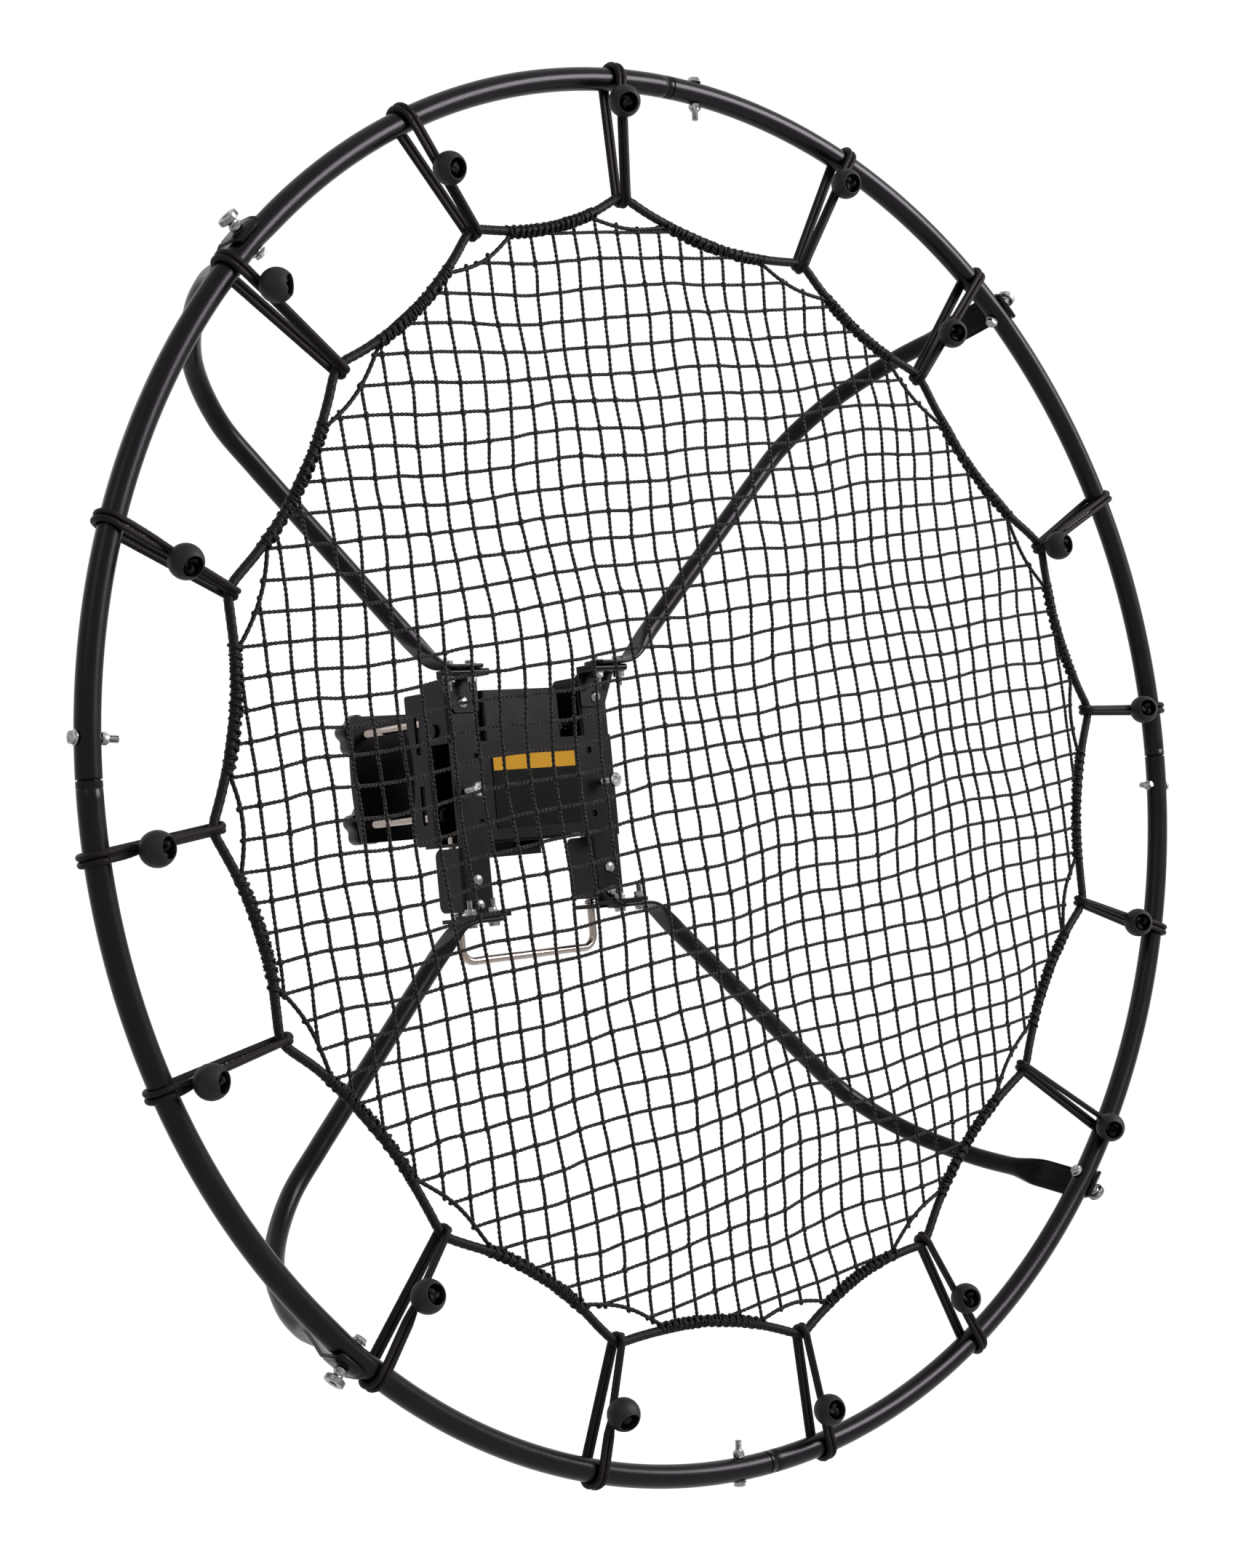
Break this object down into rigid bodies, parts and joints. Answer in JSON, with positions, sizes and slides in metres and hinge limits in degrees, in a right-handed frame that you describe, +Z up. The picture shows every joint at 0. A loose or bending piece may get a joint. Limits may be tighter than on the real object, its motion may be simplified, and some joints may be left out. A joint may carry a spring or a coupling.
{
  "type": "passback rebounding net",
  "caption": "Round net on ball bungees in a sectioned tube ring, held by bent arms on a tilting bracket that clamps round a hoop's post.",
  "frame": {"origin": "middle of the front jaw's pole face, where the clamp meets the post", "axes": "+X to the right as seen from the playing side, +Y back through the clamp, away from the player, +Z up"},
  "size_m": [1.3088, 0.5418, 1.3069],
  "materials": {
    "powder_coat": "satin black powder coat",
    "zinc": "bright zinc plate",
    "knob_plastic": "moulded satin black",
    "net_cord": "twisted black cord",
    "bungee": "black braided elastic with a matte black ball",
    "label": "blank printed panel, black with an amber band"
  },
  "bodies": {
    "mount": {"mount_jaw": "powder_coat", "tilt_shaft": "zinc", "clamp_bolt_upper_left": "zinc", "clamp_bolt_upper_right": "zinc", "clamp_bolt_lower_left": "zinc", "clamp_bolt_lower_right": "zinc"},
    "tilt_frame": {"tilt_frame": "powder_coat", "label_panel": "label", "upper_bracket_left": "powder_coat", "upper_bracket_right": "powder_coat", "lower_bracket_left": "powder_coat", "lower_bracket_right": "powder_coat", "lock_spring_left": "zinc", "lock_spring_right": "zinc", "net": "net_cord", "ring_quarter_1": "powder_coat", "ring_quarter_2": "powder_coat", "ring_quarter_3": "powder_coat", "ring_quarter_4": "powder_coat", "ring_bolt_1": "zinc", "ring_bolt_2": "zinc", "ring_bolt_3": "zinc", "ring_bolt_4": "zinc", "arm_upper_right": "powder_coat", "arm_lower_right": "powder_coat", "arm_lower_left": "powder_coat", "arm_upper_left": "powder_coat", "arm_bolt_upper_right": "zinc", "arm_bolt_lower_right": "zinc", "arm_bolt_lower_left": "zinc", "arm_bolt_upper_left": "zinc", "bungee_01": "bungee", "bungee_02": "bungee", "bungee_03": "bungee", "bungee_04": "bungee", "bungee_05": "bungee", "bungee_06": "bungee", "bungee_07": "bungee", "bungee_08": "bungee", "bungee_09": "bungee", "bungee_10": "bungee", "bungee_11": "bungee", "bungee_12": "bungee", "bungee_13": "bungee", "bungee_14": "bungee", "bungee_15": "bungee", "bungee_16": "bungee"},
    "rear_jaw": {"rear_jaw": "powder_coat"},
    "lock_handle": {"lock_handle": "zinc"},
    "clamp_knob_upper_left": {"clamp_knob_upper_left": "knob_plastic"},
    "clamp_knob_upper_right": {"clamp_knob_upper_right": "knob_plastic"},
    "clamp_knob_lower_left": {"clamp_knob_lower_left": "knob_plastic"},
    "clamp_knob_lower_right": {"clamp_knob_lower_right": "knob_plastic"},
    "thumb_nut_upper_right": {"thumb_nut_upper_right": "zinc"},
    "thumb_nut_lower_right": {"thumb_nut_lower_right": "zinc"},
    "thumb_nut_lower_left": {"thumb_nut_lower_left": "zinc"},
    "thumb_nut_upper_left": {"thumb_nut_upper_left": "zinc"},
    "thumb_screw_left": {"thumb_screw_left": "zinc"},
    "thumb_screw_right": {"thumb_screw_right": "zinc"}
  },
  "joints": [
    {"name": "tilt", "type": "hinge", "parent": "mount", "child": "tilt_frame", "pos_m": [0, -0.045, 0.0355], "axis": [-1, 0, 0], "range_deg": [0, 10]},
    {"name": "rear_jaw_slide", "type": "slide", "parent": "mount", "child": "rear_jaw", "axis": [0, 1, 0], "range_m": [-0.0264, 0.006]},
    {"name": "lock_release", "type": "slide", "parent": "tilt_frame", "child": "lock_handle", "axis": [0, 0, 1], "range_m": [-0.0105, 0], "stiffness_N_per_m": 600, "springref_m": 0.006, "deforming": ["lock_spring_left", "lock_spring_right"]},
    {"name": "knob_upper_left_turn", "type": "hinge", "parent": "rear_jaw", "child": "clamp_knob_upper_left", "pos_m": [-0.066, 0.145, 0.048], "axis": [0, 1, 0], "continuous": true},
    {"name": "knob_upper_right_turn", "type": "hinge", "parent": "rear_jaw", "child": "clamp_knob_upper_right", "pos_m": [0.066, 0.145, 0.048], "axis": [0, 1, 0], "continuous": true},
    {"name": "knob_lower_left_turn", "type": "hinge", "parent": "rear_jaw", "child": "clamp_knob_lower_left", "pos_m": [-0.066, 0.145, -0.048], "axis": [0, 1, 0], "continuous": true},
    {"name": "knob_lower_right_turn", "type": "hinge", "parent": "rear_jaw", "child": "clamp_knob_lower_right", "pos_m": [0.066, 0.145, -0.048], "axis": [0, 1, 0], "continuous": true},
    {"name": "thumb_nut_upper_right_turn", "type": "hinge", "parent": "tilt_frame", "child": "thumb_nut_upper_right", "pos_m": [0.46634, -0.345, 0.43584], "axis": [0.7071, 0, 0.7071], "continuous": true},
    {"name": "thumb_nut_lower_right_turn", "type": "hinge", "parent": "tilt_frame", "child": "thumb_nut_lower_right", "pos_m": [0.46634, -0.345, -0.49684], "axis": [0.7071, 0, -0.7071], "continuous": true},
    {"name": "thumb_nut_lower_left_turn", "type": "hinge", "parent": "tilt_frame", "child": "thumb_nut_lower_left", "pos_m": [-0.46634, -0.345, -0.49684], "axis": [-0.7071, 0, -0.7071], "continuous": true},
    {"name": "thumb_nut_upper_left_turn", "type": "hinge", "parent": "tilt_frame", "child": "thumb_nut_upper_left", "pos_m": [-0.46634, -0.345, 0.43584], "axis": [-0.7071, 0, 0.7071], "continuous": true},
    {"name": "thumb_screw_left_turn", "type": "hinge", "parent": "tilt_frame", "child": "thumb_screw_left", "pos_m": [-0.087, -0.08, -0.0265], "axis": [0, 1, 0], "continuous": true},
    {"name": "thumb_screw_right_turn", "type": "hinge", "parent": "tilt_frame", "child": "thumb_screw_right", "pos_m": [0.087, -0.08, -0.0265], "axis": [0, 1, 0], "continuous": true}
  ]
}
